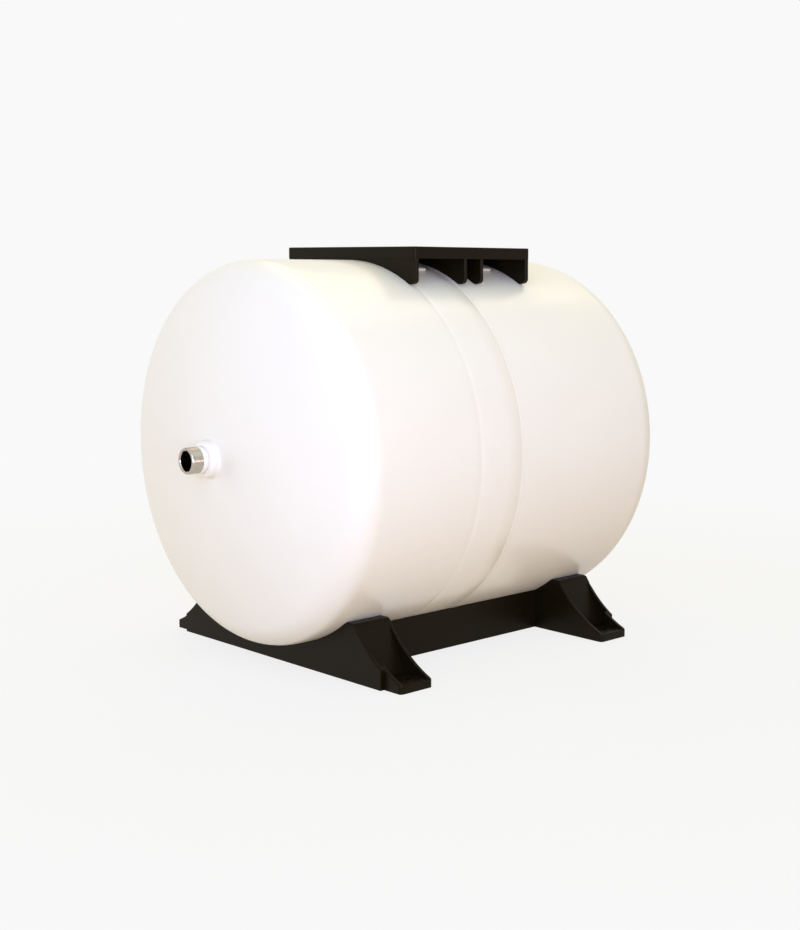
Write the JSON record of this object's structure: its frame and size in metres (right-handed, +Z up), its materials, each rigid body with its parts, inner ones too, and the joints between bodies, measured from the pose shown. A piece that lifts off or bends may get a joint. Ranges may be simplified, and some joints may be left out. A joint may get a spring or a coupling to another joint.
{
  "type": "diaphragm pressure tank",
  "caption": "Horizontal steel diaphragm pressure tank on a moulded base with bolt-down toes, with a moulded pump stand on top and a threaded water connection in one end.",
  "frame": {"origin": "on the floor, in the middle of the four foot bolt holes", "axes": "+X along the tank towards the air valve, -X towards the water connection, +Z up towards the pump stand"},
  "size_m": [0.5437, 0.3908, 0.4243],
  "materials": {
    "tank_paint": "glossy ivory white powder coat",
    "liner_plastic": "natural polypropylene",
    "diaphragm_rubber": "matt moulded rubber",
    "seal_rubber": "smooth seal rubber",
    "stainless": "turned stainless steel",
    "zinc_steel": "zinc plated",
    "brass": "turned brass",
    "black_moulding": "satin black moulded plastic"
  },
  "bodies": {
    "tank": {"front_shell": "tank_paint", "rear_shell": "tank_paint", "girth_weld": "tank_paint", "liner": "liner_plastic", "diaphragm": "diaphragm_rubber", "clench_ring": "zinc_steel", "connection_collar": "tank_paint", "water_connection": "stainless", "connection_o_ring": "seal_rubber", "air_valve_boss": "tank_paint", "air_valve_stem": "brass", "stem_o_ring": "seal_rubber", "valve_core": "brass", "core_seal": "seal_rubber", "valve_spring": "stainless", "base_moulding": "black_moulding", "base_studs": "zinc_steel", "base_washers": "zinc_steel", "base_nuts": "zinc_steel", "pump_stand": "black_moulding", "front_stand_bracket": "tank_paint", "rear_stand_bracket": "tank_paint", "stand_nuts": "zinc_steel", "stand_screws": "zinc_steel"},
    "cap": {"valve_cap": "brass", "cap_seal": "seal_rubber"},
    "pin": {"valve_pin": "brass", "pin_seal": "seal_rubber"}
  },
  "joints": [
    {"name": "cap_removal", "type": "slide", "parent": "tank", "child": "cap", "axis": [1, 0, 0], "range_m": [0, 0.016]},
    {"name": "pin_press", "type": "slide", "parent": "tank", "child": "pin", "axis": [-1, 0, 0], "range_m": [0, 0.0012], "stiffness_N_per_m": 1500, "springref_m": -0.0015, "deforming": ["valve_spring"]}
  ]
}
